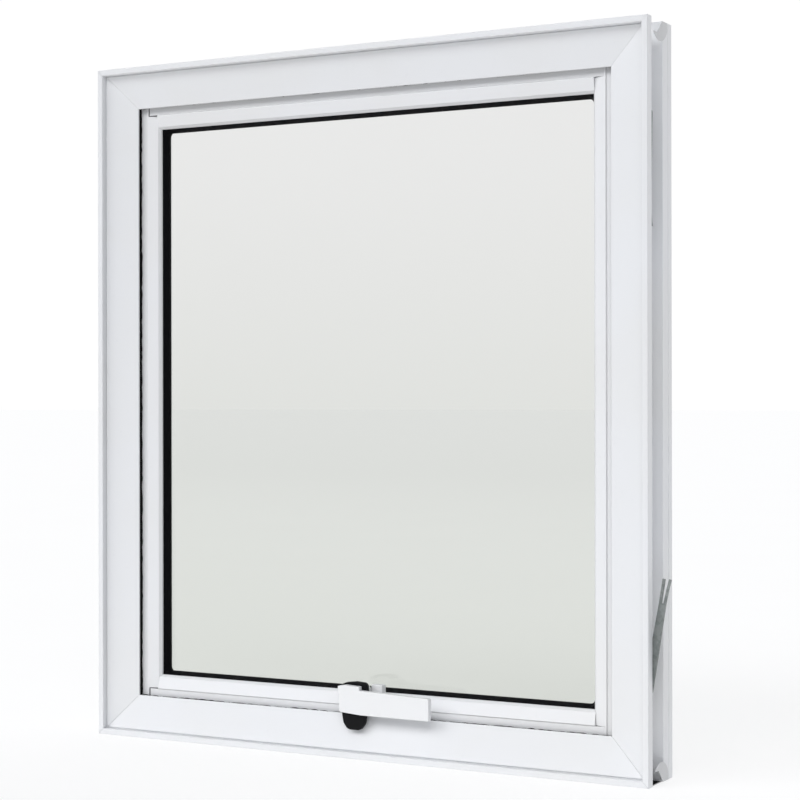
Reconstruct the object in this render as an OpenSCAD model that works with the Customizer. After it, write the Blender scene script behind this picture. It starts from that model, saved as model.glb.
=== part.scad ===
// Top-hung projecting window: mitred outer frame, outward-opening sash on two
// sliding stays, turning lever latch at the bottom, and hinged wall ties.
// Origin: middle of the front flange's underside. X runs along the sill,
// +Y points outdoors and Z is up. Profiles are drawn as [inset, depth]: inset
// from the frame's outer edge, depth behind the room-side face of the lip.

/* [Overall size] */
// Width of the outer frame
frame_w = 600; // [500:10:900]
// Height of the outer frame
frame_h = 680; // [600:10:1000]
// Depth of the outer frame
frame_d = 60; // [60:1:80]

/* [Frame profile] */
// Wall of the frame extrusion
wall = 1.5; // [1.2:0.1:2]
// Width of the raised lip round the room side
lip_w = 6; // [4:0.5:8]
// How far the moulded face starts behind the lip
lip_step = 5; // [3:0.5:6]
// Width of the moulded trim, lip included
trim_w = 40.5; // [38:0.5:46]
// Depth of the trim's inner edge
nose_depth = 15; // [13:0.5:16]
// Depth of the front flange
flange_d = 10.5; // [9.5:0.5:11]
// Inset of the outer channel's floor
channel_w = 12; // [10:0.5:14]
// Depth at which the rear box starts
rear_start = 37; // [32:1:40]
// Inset of the wall that faces the sash
inner_w = 20; // [18:0.5:22]
// Thickness of the pad that carries the pile seal
seal_pad = 1.8; // [1.5:0.1:2]
// Length of a drain slot
drain_l = 25; // [15:1:40]
// Height of a drain slot
drain_h = 5; // [3:0.5:6]
// Leg length of the corner cleats
cleat_leg = 45; // [30:1:60]
// Radius of the corner cover plates
plate_r = 20; // [17:0.5:22]
// Thickness of the corner cover plates
plate_t = 0.8; // [0.6:0.1:1]

/* [Sash profile] */
// Gap between the frame's inner wall and the sash
stay_gap = 14; // [13.5:0.5:16]
// Depth of the sash flange's face
sash_face = 21.5; // [20.5:0.5:23]
// Width of the sash flange
sash_flange_w = 13; // [12:0.5:15]
// Visible width of the raised face, inside the flange
sash_raised_w = 14.5; // [13:0.5:18]
// Wall of the sash extrusion
sash_wall = 1.6; // [1.3:0.1:2]
// Depth of the sash bar
sash_d = 28.5; // [28:0.5:32]
// Width of the sash bar's tube
sash_tube_w = 21; // [19:0.5:23]

/* [Glazing] */
// Thickness of the glass
glass_t = 4; // [3:1:6]
// Depth of the glass face behind the sash flange's face
glass_set = 14.5; // [14:0.5:16]
// Gap between glass edge and sash tube
glass_edge_gap = 3; // [2:0.5:4]
// Width of the gasket seen inside the sash
gasket_sight = 3.5; // [2:0.5:5]

/* [Stays] */
// Pivot spacing of a stay link, and of the two pivots on the sash arm
stay_l = 125; // [100:5:140]
// Distance of the upper pivot below the frame's top
stay_top = 32; // [30:1:40]
// Depth of the stay pivots
stay_depth = 36; // [34:0.5:38]
// Width of the flat bars
bar_w = 16; // [14:0.5:18]
// Thickness of the flat bars
bar_t = 2.5; // [2:0.1:3]
// Width of the track
track_w = 19; // [18:0.5:20]
// Height of the track section
track_h = 8; // [7.5:0.1:8.2]
// Length of the sliding shoe
shoe_l = 18; // [16:1:20]
// Radius of the pivot pins
pin_r = 3; // [2.5:0.1:3.5]
// Radial clearance of a running pin
pin_clear = 0.06; // [0.03:0.01:0.1]
// Gap left between pieces that slide past each other
slide_gap = 0.3; // [0.3:0.1:0.4]

/* [Latch] */
// Height of the latch pivot above the frame's underside
latch_z = 59; // [58:0.5:62]
// Radius of the tongue's hub
hub_r = 14; // [12:0.5:15]
// Reach of the tongue below its pivot
tongue_reach = 32; // [28:0.5:34]
// Thickness of the tongue
tongue_t = 5; // [4:0.5:6]
// Depth of the lever's front face, negative where it stands proud of the lip
lever_front = -2; // [-3:0.5:0]
// Length of the lever from its pivot
lever_l = 83; // [60:1:100]
// Height of the lever bar
lever_h = 19; // [16:0.5:22]
// Thickness of the lever bar
lever_t = 6; // [5:0.5:6.5]

/* [Wall ties] */
// Length of a tie from its rivet
tie_l = 100; // [60:5:150]
// Width of a tie
tie_w = 7; // [5:0.5:7]
// Thickness of a tie
tie_t = 1.5; // [1:0.1:2]
// Distance of a tie's rivet from the jamb's end
tie_from_end = 85; // [60:5:120]
// How far the lower right tie is swung out at rest
tie_rest = 10; // [0:1:20]
// Radius of a tie rivet
rivet_r = 1.5; // [1.2:0.1:1.8]

/* [Screws] */
// Shank radius of the screws
screw_r = 1.9; // [1.5:0.1:2.1]
// Head radius of the screws
screw_head_r = 3.4; // [3:0.1:3.6]
// Head thickness of the screws
screw_head_t = 1.2; // [1:0.1:1.4]

/* [Hidden] */
$fn = 32;

eps = 0.01;
// Depth 0 is the lip's face, and the origin lies in the middle of the flange
front_y = -flange_d / 2;

// Sash insets, measured like the frame's from the frame's outer edge
sash_out = inner_w + stay_gap;
flange_in = sash_out + sash_flange_w;
sash_in = flange_in + sash_raised_w;
sash_tube_in = sash_out + sash_tube_w;
sash_back = sash_face + sash_d;
// The raised face stands proud of the flange, then falls towards the glass
ridge_rise = 1.5;
ridge_w = 1;
face_fall = 1.7;
bevel_w = 2.3;
bevel_d = 2.8;
bevel_in = sash_in - bevel_w;
bevel_start = sash_face + face_fall;
bevel_end = bevel_start + bevel_d;
stop_t = 2.2;
stop_back = bevel_end + stop_t;
// A rail's flange laps past the stile's raised face to here
lap_in = flange_in + 2;
joint_gap = 0.15;

// Glazing
glass_in = sash_tube_in + glass_edge_gap;
glass_front = sash_face + glass_set;
glass_back = glass_front + glass_t;
sight_in = sash_in + gasket_sight;
gasket_out_t = 3.2;
bead_front = glass_back + gasket_out_t;
bead_wall = 1.3;
bead_lip = 1.5;
block_l = 60;
block_at = 0.25;

// Pile seal, on a pad with a sloped step
pad_w = 7.5;
pad_rise = 3.5;
pad_back = nose_depth + seal_pad;
pile_in = trim_w - 1.1;
pile_w = 4.6;
pile_end = sash_face - slide_gap;

// Stays: pivots A on the frame, B between link and arm, C on the shoe
pivot_c = frame_h - stay_top;
pivot_a = pivot_c - 2 * stay_l;
pivot_b = pivot_c - stay_l;
arm_inset = sash_out - bar_t;
link_inset = arm_inset - 0.4 - bar_t;
track_top = frame_h - inner_w - 1;
track_tail = 45;
track_low = pivot_a - track_tail;
track_t = 1.5;
track_return = 4.5;
track_mouth = track_w - 2 * track_return;
arm_tail = 35;
pin_head_r = 5.5;
pin_head_t = 1.8;
screw_l = 6;
// Screws keep clear of the pins, and the uppermost of the shoe's resting place
track_screw_gap = 40;
track_screw_z = [track_low + 12, pivot_a + track_screw_gap, pivot_b - track_screw_gap,
                 pivot_c - 2 * track_screw_gap];
arm_screw_gap = 30;
arm_screw_z = [pivot_b - arm_screw_gap + 4, pivot_b + arm_screw_gap, pivot_c - arm_screw_gap];
corner_screw_bite = 14;

// Latch depths, from the lever's face back to the sash
lever_back = lever_front + lever_t;
tongue_front = lever_back + 0.4;
tongue_back = tongue_front + tongue_t;
washer_t = 0.3;
washer_r = 7;
base_front = tongue_back + washer_t;
base_back = sash_face - ridge_rise;
latch_boss_r = 12;
wing_front = tongue_back + 4.6;
wing_l = 36;
ear_front = tongue_back + 3.1;
ear_from = hub_r;
ear_l = 12;
tongue_w = 27;
tongue_corner = 9;
rib_t = 2.5;
rib_h = 4;
rib_rise = 3;
rib_w = 16;
tab_w = 21.6;
tab_h = 8;
lever_top = 3;
latch_screw_x = [19, 30];
latch_screw_drop = 7;
latch_head_t = 1.5;
wing_drop = 15;
ear_rise = 11.5;
lever_corner = 2;
lever_seat = 3;

// How far the corner plates sit forward of the channel's middle
plate_shift = 6;

// Wall ties, behind the front flange
tie_inset = 4.5;
tie_front = flange_d + slide_gap;
tie_slot_w = 1.6;
tie_slot_l = 22;
tie_spread = 1.5;
rivet_head_r = 3;
rivet_head_t = 1.1;

// ---------- placing helpers ----------

// A 2D profile run up a jamb or stile: side is -1 for left and 1 for right
module run_up(side, z_low, z_high) {
  translate([side * frame_w / 2, front_y, z_low])
    mirror([side > 0 ? 1 : 0, 0, 0])
      linear_extrude(z_high - z_low) children();
}

// A 2D profile run along the sill or bottom rail: end is 0 for low and 1 for high
module run_across(end, half_l) {
  translate([0, front_y, end * frame_h])
    mirror([0, 0, end])
      rotate([0, -90, 0]) linear_extrude(2 * half_l, center = true) children();
}

// Everything between the two 45 degree planes through the corners of one side
module jamb_wedge(side) {
  m = frame_w / 2 - 1;
  mirror([side > 0 ? 1 : 0, 0, 0])
    translate([-frame_w / 2, 0, 0]) rotate([90, 0, 0])
      linear_extrude(4 * frame_d, center = true)
        polygon([[0, 0], [m, m], [m, frame_h - m], [0, frame_h]]);
}

module rail_wedge(end) {
  m = frame_w / 2 - 1;
  translate([0, 0, end * frame_h]) mirror([0, 0, end])
    rotate([90, 0, 0]) linear_extrude(4 * frame_d, center = true)
      polygon([[-frame_w / 2, 0], [frame_w / 2, 0], [frame_w / 2 - m, m], [m - frame_w / 2, m]]);
}

// A mitred bar of a profile on one of the four sides
module mitred_side(side) {
  intersection() {
    run_up(side, 0, frame_h) children();
    jamb_wedge(side);
  }
}

module mitred_rail(end) {
  intersection() {
    run_across(end, frame_w / 2) children();
    rail_wedge(end);
  }
}

// A rod along X on one jamb, from one inset to another
module rod(side, inset_a, inset_b, depth, z, r) {
  translate([side * (frame_w / 2 - inset_a), front_y + depth, z])
    rotate([0, -side * 90, 0]) cylinder(r = r, h = inset_b - inset_a);
}

// A flat bar lying against a jamb, from one inset to another
module flat(side, inset_a, inset_b, depth, half_d, z_low, z_high) {
  x_mid = side * (frame_w / 2 - (inset_a + inset_b) / 2);
  translate([x_mid - (inset_b - inset_a) / 2, front_y + depth - half_d, z_low])
    cube([inset_b - inset_a, 2 * half_d, z_high - z_low]);
}

// A rod along Y, from one depth to another
module stud(x, z, depth_a, depth_b, r) {
  translate([x, front_y + depth_a, z]) rotate([-90, 0, 0])
    cylinder(r = r, h = depth_b - depth_a);
}

// A block given by its X range, depth range and Z range
module block(x0, x1, depth_a, depth_b, z0, z1) {
  translate([x0, front_y + depth_a, z0]) cube([x1 - x0, depth_b - depth_a, z1 - z0]);
}

module rect(a, b, c, d) {
  translate([a, b]) square([c - a, d - b]);
}

// ---------- outer frame ----------

// Depth of the moulded face: steep beside the lip, flatter at the nose
function face_depth(u) = lip_step + (nose_depth - lip_step) * pow(u, 0.75);
face_steps = 8;
face_front = [for (i = [0:face_steps])
  [lip_w + (trim_w - lip_w) * i / face_steps, face_depth(i / face_steps)]];
face_back = [for (i = [face_steps:-1:0])
  [face_front[i][0] - (i == 0 ? wall : 0), face_front[i][1] + wall]];

groove_back = 10;
groove_deep = 0.6;
groove_w = 1;

module frame_profile() {
  difference() {
    union() {
      rect(0, 0, wall, flange_d);
      rect(0, 0, lip_w, wall);
      rect(lip_w - wall, 0, lip_w, lip_step + wall);
      polygon(concat(face_front, face_back));
      rect(trim_w - pad_w, nose_depth, trim_w, pad_back);
      polygon([[trim_w - pad_w, pad_back - pad_rise], [trim_w, nose_depth], [trim_w, pad_back],
               [trim_w - pad_w, pad_back]]);
      rect(0, flange_d - wall, channel_w + wall, flange_d);
      rect(channel_w, flange_d - wall, channel_w + wall, rear_start + wall);
      rect(0, rear_start, inner_w, rear_start + wall);
      rect(0, rear_start, wall, frame_d);
      rect(0, frame_d - wall, inner_w, frame_d);
      rect(inner_w - wall, flange_d, inner_w, frame_d);
    }
    // Shallow groove down the side of the rear box
    translate([-eps, frame_d - groove_back]) square([groove_deep, groove_w]);
  }
}

module frame_head() {
  color("whitesmoke") mitred_rail(1) frame_profile();
}

module frame_sill() {
  color("whitesmoke") difference() {
    mitred_rail(0) frame_profile();
    for (s = [-1, 1])
      block(s * frame_w / 4 - drain_l / 2, s * frame_w / 4 + drain_l / 2,
            frame_d - 2 * wall, frame_d + 1, wall + 3, wall + 3 + drain_h);
  }
}

module frame_jamb(side) {
  color("whitesmoke") difference() {
    mitred_side(side) frame_profile();
    for (z = track_screw_z)
      rod(side, inner_w + track_t - screw_l - 1, inner_w + 1, stay_depth, z, screw_r);
    for (z = [tie_from_end, frame_h - tie_from_end])
      stud(side * (frame_w / 2 - tie_inset), z, flange_d - 2 * wall, flange_d + 1, rivet_r);
  }
}

// Die-cast angle that fills the rear box at a corner and keys the mitre
module corner_cleats() {
  fit = 0.15;
  lo = wall + fit;
  hi = inner_w - wall - fit;
  color("darkgray") for (sx = [-1, 1], end = [0, 1])
    mirror([sx > 0 ? 1 : 0, 0, 0]) translate([0, 0, end * frame_h]) mirror([0, 0, end]) {
      difference() {
        union() {
          block(lo - frame_w / 2, hi - frame_w / 2, rear_start + wall + fit, frame_d - wall - fit,
                lo, lo + cleat_leg);
          block(lo - frame_w / 2, lo + cleat_leg - frame_w / 2, rear_start + wall + fit,
                frame_d - wall - fit, lo, hi);
        }
        // The legs are ribbed: a pocket in each saves metal
        block(lo + 4 - frame_w / 2, hi - 4 - frame_w / 2, 0, frame_d, hi + 4, lo + cleat_leg - 5);
        block(hi + 4 - frame_w / 2, lo + cleat_leg - 5 - frame_w / 2, 0, frame_d, lo + 4, hi - 4);
      }
    }
}

// Thin crescent covers at each end of a jamb: a disc cut off level with the frame's
// end and notched where the head's or sill's own channel runs out
module corner_plates() {
  mid = (flange_d + frame_d) / 2 - plate_shift;
  notch_z = channel_w + slide_gap;
  notch_top = rear_start - 2;
  color("gainsboro") for (side = [-1, 1], end = [0, 1])
    translate([0, 0, end * frame_h]) mirror([0, 0, end]) difference() {
      intersection() {
        rod(side, -plate_t, 0, mid, -1, plate_r);
        flat(side, -plate_t - 1, 1, mid, mid - flange_d - 1, 0.5, plate_r);
      }
      translate([side * frame_w / 2, front_y, 0])
        rotate([90, 0, 90]) linear_extrude(4 * plate_t, center = true)
          polygon([[0, -1], [notch_top, -1], [notch_top - notch_z, notch_z], [0, notch_z]]);
    }
}

module pile_profile() {
  rect(pile_in - pile_w, pad_back, pile_in, pile_end);
}

module pile_seal_upright(side) {
  color("#222") mitred_side(side) pile_profile();
}

// The level seals are nipped where they cross the stiles' raised faces
module pile_seal_level(end) {
  nip_a = frame_w / 2 - lap_in - joint_gap - 0.5;
  nip_b = frame_w / 2 - flange_in + 0.5;
  color("#222") difference() {
    mitred_rail(end) pile_profile();
    translate([0, 0, end * frame_h]) mirror([0, 0, end])
      for (x0 = [nip_a, -nip_b])
        block(x0, x0 + nip_b - nip_a, sash_face - ridge_rise - slide_gap, sash_face,
              pile_in - pile_w - 1, pile_in + 1);
  }
}

// ---------- sash ----------

module sash_outline() {
  polygon([[sash_out, sash_face], [flange_in, sash_face],
           [flange_in + ridge_w, sash_face - ridge_rise], [bevel_in, bevel_start],
           [sash_in, bevel_end], [sash_in, stop_back], [sash_tube_in, stop_back],
           [sash_tube_in, sash_back], [sash_out, sash_back]]);
}

module screw_port(inset, depth) {
  translate([inset, depth]) circle(r = screw_r + 1.4);
}

module port_bore(inset, depth) {
  translate([inset, depth]) circle(r = screw_r);
}

port_in = sash_out + 8;
port_set = 4.5;
port_depths = [sash_face + port_set, sash_back - port_set];

module sash_profile() {
  t = sash_wall;
  difference() {
    sash_outline();
    difference() {
      polygon([[sash_out + t, sash_face + t], [flange_in, sash_face + t],
               [flange_in + ridge_w, sash_face - ridge_rise + t],
               [sash_tube_in - t, sash_face + t], [sash_tube_in - t, sash_back - t],
               [sash_out + t, sash_back - t]]);
      for (d = port_depths) screw_port(port_in, d);
    }
    polygon([[sash_tube_in, sash_face + t + 0.8], [bevel_in, bevel_start + t],
             [sash_in - t, bevel_end], [sash_in - t, stop_back - t],
             [sash_tube_in, stop_back - t]]);
    for (d = port_depths) port_bore(port_in, d);
  }
}

// Where a rail's flange laps over, a stile's face is notched at both ends
module stile_notch(side, end, slack) {
  x0 = frame_w / 2 - sash_in - 1;
  x1 = frame_w / 2 - lap_in - slack;
  translate([0, 0, end * frame_h]) mirror([0, 0, end]) mirror([side < 0 ? 1 : 0, 0, 0])
    block(x0, x1, 0, sash_face + sash_wall + joint_gap - slack, sash_out - 1, flange_in - slack);
}

module sash_stile(side) {
  color("white") difference() {
    run_up(side, sash_out, frame_h - sash_out) sash_profile();
    for (end = [0, 1]) stile_notch(side, end, 0);
    for (end = [0, 1], d = port_depths)
      translate([0, 0, end * frame_h]) mirror([0, 0, end]) {
        rod(side, sash_out - 1, sash_in + 1, d, port_in, screw_r);
        rod(side, sash_out - 1, sash_out + screw_head_t, d, port_in, screw_head_r);
      }
    for (z = arm_screw_z)
      rod(side, sash_out - 1, sash_out + 2 * sash_wall, stay_depth, z, screw_r);
  }
}

// The stile without its hollow, used to cope the rail's ends to it
module stile_solid(side) {
  difference() {
    run_up(side, sash_out, frame_h - sash_out) offset_outline();
    for (end = [0, 1]) stile_notch(side, end, joint_gap);
  }
}

module offset_outline() {
  g = joint_gap;
  polygon([[sash_out, sash_face - 9], [bevel_in + g, sash_face - 9], [bevel_in + g, bevel_start - g],
           [sash_in + g, bevel_end - g], [sash_in + g, stop_back + g],
           [sash_tube_in + g, stop_back + g], [sash_tube_in + g, sash_back + 1],
           [sash_out, sash_back + 1]]);
}

module sash_rail(end) {
  color("white") difference() {
    run_across(end, frame_w / 2 - lap_in - joint_gap) sash_profile();
    for (side = [-1, 1]) stile_solid(side);
    if (end == 0) latch_holes();
  }
}

// Flush screws through the stiles into the rails' ports
module sash_corner_screws() {
  color("silver") for (side = [-1, 1], end = [0, 1], d = port_depths)
    translate([0, 0, end * frame_h]) mirror([0, 0, end]) {
      rod(side, sash_out, sash_out + screw_head_t, d, port_in, screw_head_r);
      rod(side, sash_out + screw_head_t - eps, sash_tube_in + corner_screw_bite, d, port_in,
          screw_r);
    }
}

module glass_pane() {
  color("lightcyan", 0.4)
    block(glass_in - frame_w / 2, frame_w / 2 - glass_in, glass_front, glass_back,
          glass_in, frame_h - glass_in);
}

module setting_blocks() {
  color("dimgray") for (s = [-1, 1])
    block(s * frame_w * block_at - block_l / 2, s * frame_w * block_at + block_l / 2,
          glass_front, glass_back, sash_tube_in, glass_in);
}

module gasket_room_profile() {
  polygon([[glass_in - 1, stop_back], [sash_in + 0.3, stop_back], [sight_in, glass_front - 2],
           [sight_in, glass_front], [glass_in - 1, glass_front]]);
}

module ring() {
  for (side = [-1, 1]) mitred_side(side) children();
  for (end = [0, 1]) mitred_rail(end) children();
}

module gasket_room() {
  color("black") ring() gasket_room_profile();
}

module gasket_outside() {
  color("black") ring() rect(glass_in, glass_back, sight_in, bead_front);
}

module bead_profile() {
  difference() {
    rect(sash_tube_in, bead_front, sight_in + bead_lip, sash_back);
    rect(sash_tube_in + bead_wall, bead_front + bead_wall, sight_in + bead_lip - bead_wall,
         sash_back - bead_wall);
  }
}

module glazing_bead_upright(side) {
  color("white") run_up(side, sight_in + bead_lip, frame_h - sight_in - bead_lip) bead_profile();
}

module glazing_bead_level(end) {
  color("white") run_across(end, frame_w / 2 - sash_tube_in) bead_profile();
}

// ---------- stays ----------

module stay_track(side) {
  a = inner_w;
  b = inner_w + track_h;
  half = track_w / 2;
  color("silver") difference() {
    flat(side, a, b, stay_depth, half, track_low, track_top);
    flat(side, a + track_t, b - track_t, stay_depth, half - track_t, track_low - 1, track_top + 1);
    flat(side, b - 2 * track_t, b + 1, stay_depth, track_mouth / 2, track_low - 1, track_top + 1);
    rod(side, a - 1, a + track_t + 1, stay_depth, pivot_a, pin_r);
    for (z = track_screw_z) {
      rod(side, a - 1, a + track_t + 1, stay_depth, z, screw_r);
      rod(side, a + track_t - screw_head_t, a + track_t + 1, stay_depth, z, screw_head_r);
    }
  }
}

// Flush screws that hold the tracks to the jambs
module track_screws() {
  color("dimgray") for (side = [-1, 1], z = track_screw_z) {
    rod(side, inner_w + track_t - screw_head_t, inner_w + track_t, stay_depth, z, screw_head_r);
    rod(side, inner_w + track_t - screw_l, inner_w + track_t - screw_head_t + eps, stay_depth, z,
        screw_r);
  }
}

// Shouldered pin, riveted to the track, that a link turns on
module frame_pivot_pins() {
  shoulder = link_inset - slide_gap;
  color("gray") for (side = [-1, 1]) {
    rod(side, inner_w, link_inset + bar_t + 0.1, stay_depth, pivot_a, pin_r);
    rod(side, inner_w + track_t, shoulder, stay_depth, pivot_a, track_mouth / 2 - 0.2);
    rod(side, link_inset + bar_t + 0.1 - eps, link_inset + bar_t + pin_head_t, stay_depth, pivot_a,
        pin_head_r);
  }
}

module stay_link(side) {
  color("lightgray") difference() {
    union() {
      flat(side, link_inset, link_inset + bar_t, stay_depth, bar_w / 2, pivot_a, pivot_b);
      for (z = [pivot_a, pivot_b])
        rod(side, link_inset, link_inset + bar_t, stay_depth, z, bar_w / 2);
    }
    for (z = [pivot_a, pivot_b])
      rod(side, link_inset - 1, link_inset + bar_t + 1, stay_depth, z, pin_r + pin_clear);
  }
}

module stay_shoe(side) {
  a = inner_w + track_t + slide_gap;
  b = inner_w + track_h - track_t - slide_gap;
  neck_end = inner_w + track_h + slide_gap;
  half_d = track_w / 2 - track_t - slide_gap;
  color("ivory") difference() {
    union() {
      flat(side, a, b, stay_depth, half_d, pivot_c - shoe_l / 2, pivot_c + shoe_l / 2);
      flat(side, b - eps, neck_end, stay_depth, track_mouth / 2 - slide_gap,
           pivot_c - shoe_l / 2, pivot_c + shoe_l / 2);
    }
    rod(side, a - 1, neck_end + 1, stay_depth, pivot_c, pin_r + pin_clear);
  }
}

module sash_arm(side) {
  color("lightgray") difference() {
    union() {
      flat(side, arm_inset, sash_out, stay_depth, bar_w / 2, pivot_b - arm_tail, pivot_c);
      rod(side, arm_inset, sash_out, stay_depth, pivot_c, bar_w / 2);
    }
    for (z = [pivot_b, pivot_c]) rod(side, arm_inset - 1, sash_out + 1, stay_depth, z, pin_r);
    for (z = arm_screw_z) {
      rod(side, arm_inset - 1, sash_out + 1, stay_depth, z, screw_r);
      rod(side, arm_inset - 1, arm_inset + screw_head_t, stay_depth, z, screw_head_r);
    }
  }
}

// Flush screws that hold the arms to the stiles
module arm_screws() {
  color("dimgray") for (side = [-1, 1], z = arm_screw_z) {
    rod(side, arm_inset, arm_inset + screw_head_t, stay_depth, z, screw_head_r);
    rod(side, arm_inset + screw_head_t - eps, sash_out + screw_l, stay_depth, z, screw_r);
  }
}

module link_pins() {
  color("gray") for (side = [-1, 1])
    rod(side, link_inset, sash_out, stay_depth, pivot_b, pin_r);
}

module shoe_pins() {
  color("gray") for (side = [-1, 1]) {
    rod(side, inner_w + track_t + 1, sash_out, stay_depth, pivot_c, pin_r);
    rod(side, inner_w + track_h + 2 * slide_gap, arm_inset, stay_depth, pivot_c, pin_r + 1.5);
  }
}

// ---------- latch ----------

module latch_holes() {
  z = latch_z - latch_screw_drop;
  for (x = latch_screw_x) stud(x, z, base_back - 1, sash_face + 3 * sash_wall, screw_r);
}

// Base screwed to the bottom rail, with a boss for the pivot and one upright ear
module latch_base() {
  wing_low = latch_z - wing_drop;
  z_s = latch_z - latch_screw_drop;
  color("white") difference() {
    union() {
      stud(0, latch_z, base_front, base_back, latch_boss_r);
      block(-latch_boss_r, wing_l, wing_front, base_back, wing_low, sash_in);
      block(ear_from, ear_from + ear_l, ear_front, base_back, sash_in - eps, latch_z + ear_rise);
      block(ear_from, ear_from + ear_l, ear_front, wing_front + eps, sash_in - 4, sash_in);
    }
    stud(0, latch_z, base_front - 1, base_back + 1, pin_r + pin_clear);
    for (x = latch_screw_x) {
      stud(x, z_s, wing_front - 1, base_back + 1, screw_r);
      stud(x, z_s, wing_front - 1, wing_front + latch_head_t, screw_head_r);
    }
  }
}

module latch_base_screws() {
  z = latch_z - latch_screw_drop;
  color("silver") for (x = latch_screw_x) {
    stud(x, z, wing_front, wing_front + latch_head_t, screw_head_r);
    stud(x, z, wing_front + latch_head_t - eps, sash_face + 3 * sash_wall, screw_r);
  }
}

module latch_washer() {
  color("gray") difference() {
    stud(0, latch_z, tongue_back + 0.05, base_front, washer_r);
    stud(0, latch_z, tongue_back - 1, base_front + 1, pin_r + 0.2);
  }
}

// Nylon tongue: a round hub whose lower end reaches down over the sill's trim
module latch_tongue() {
  low = latch_z - tongue_reach;
  rib_z = low + rib_rise;
  color("black") difference() {
    union() {
      stud(0, latch_z, tongue_front, tongue_back, hub_r);
      block(-tongue_w / 2, tongue_w / 2, tongue_front, tongue_back, low + tongue_corner, latch_z);
      block(-tongue_w / 2 + tongue_corner, tongue_w / 2 - tongue_corner, tongue_front, tongue_back,
            low, low + tongue_corner + eps);
      for (s = [-1, 1])
        stud(s * (tongue_w / 2 - tongue_corner), low + tongue_corner, tongue_front, tongue_back,
             tongue_corner);
      block(-rib_w / 2, rib_w / 2, tongue_back - eps, tongue_back + rib_t, rib_z, rib_z + rib_h);
    }
    stud(0, latch_z, tongue_front - 1, tongue_back + 1, pin_r);
  }
}

// Lever: a flat handle to the right, with a tab that caps the hub
module latch_lever() {
  c = lever_corner;
  top = latch_z + lever_top;
  low = top - lever_h;
  color("white") difference() {
    union() {
      block(-tab_w / 2 - c, lever_l - c, lever_front, lever_back, low, top);
      block(lever_l - c - eps, lever_l, lever_front, lever_back, low + c, top - c);
      for (z = [low + c, top - c]) stud(lever_l - c, z, lever_front, lever_back, c);
      block(-tab_w / 2 - c, tab_w / 2 - c, lever_front + 1, lever_back, top - eps, top + tab_h);
    }
    stud(0, latch_z, lever_front - 1, lever_back + 1, pin_r);
    stud(0, latch_z, lever_front - 1, lever_front + lever_seat, pin_head_r + 0.1);
  }
}

module latch_pivot_screw() {
  color("dimgray") {
    stud(0, latch_z, lever_front + screw_head_t / 2, lever_front + lever_seat, pin_head_r);
    stud(0, latch_z, lever_front + lever_seat - eps, base_back - 1, pin_r);
  }
}

// ---------- wall ties ----------

// Flat bar with a split end. It hangs on its rivet and swings out of the channel
module wall_tie(side, end, angle) {
  x = side * (frame_w / 2 - tie_inset);
  prong_w = (tie_w - tie_slot_w) / 2;
  color("slategray")
    translate([x, front_y + tie_front, end * frame_h + (1 - 2 * end) * tie_from_end])
      mirror([0, 0, end]) mirror([side < 0 ? 1 : 0, 0, 0]) rotate([0, angle, 0])
        difference() {
          union() {
            translate([-tie_w / 2, 0, 0]) cube([tie_w, tie_t, tie_l - tie_slot_l]);
            rotate([-90, 0, 0]) cylinder(r = tie_w / 2, h = tie_t);
            for (s = [-1, 1])
              translate([s * (tie_w + tie_slot_w) / 4, 0, tie_l - tie_slot_l - 1])
                rotate([0, s * tie_spread, 0])
                  translate([-prong_w / 2, 0, 0]) cube([prong_w, tie_t, tie_slot_l + 1]);
          }
          translate([0, -1, 0]) rotate([-90, 0, 0])
            cylinder(r = rivet_r + pin_clear, h = tie_t + 2);
        }
}

module tie_rivets() {
  color("silver") for (side = [-1, 1], z = [tie_from_end, frame_h - tie_from_end]) {
    x = side * (frame_w / 2 - tie_inset);
    stud(x, z, flange_d - wall, tie_front + tie_t + 0.1, rivet_r);
    stud(x, z, tie_front + tie_t + 0.1 - eps, tie_front + tie_t + rivet_head_t, rivet_head_r);
  }
}

frame_head();
frame_sill();
frame_jamb(-1);  // frame_jamb_left
frame_jamb(1);  // frame_jamb_right
corner_cleats();
corner_plates();
pile_seal_level(1);  // pile_seal_head
pile_seal_level(0);  // pile_seal_sill
pile_seal_upright(-1);  // pile_seal_left
pile_seal_upright(1);  // pile_seal_right
stay_track(-1);  // stay_track_left
stay_track(1);  // stay_track_right
track_screws();
frame_pivot_pins();
stay_link(-1);  // stay_link_left
stay_link(1);  // stay_link_right
stay_shoe(-1);  // stay_shoe_left
stay_shoe(1);  // stay_shoe_right
sash_arm(-1);  // sash_arm_left
sash_arm(1);  // sash_arm_right
arm_screws();
link_pins();
shoe_pins();
sash_stile(-1);  // sash_stile_left
sash_stile(1);  // sash_stile_right
sash_rail(1);  // sash_rail_top
sash_rail(0);  // sash_rail_bottom
sash_corner_screws();
glass_pane();
setting_blocks();
gasket_room();
gasket_outside();
glazing_bead_level(1);  // glazing_bead_top
glazing_bead_level(0);  // glazing_bead_bottom
glazing_bead_upright(-1);  // glazing_bead_left
glazing_bead_upright(1);  // glazing_bead_right
latch_base();
latch_base_screws();
latch_washer();
latch_tongue();
latch_lever();
latch_pivot_screw();
wall_tie(-1, 1, 0);  // wall_tie_top_left
wall_tie(1, 1, 0);  // wall_tie_top_right
wall_tie(-1, 0, 0);  // wall_tie_bottom_left
wall_tie(1, 0, tie_rest);  // wall_tie_bottom_right
tie_rivets();
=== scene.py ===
import math

import bmesh
import bpy
import numpy as np
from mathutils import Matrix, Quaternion, Vector


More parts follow.
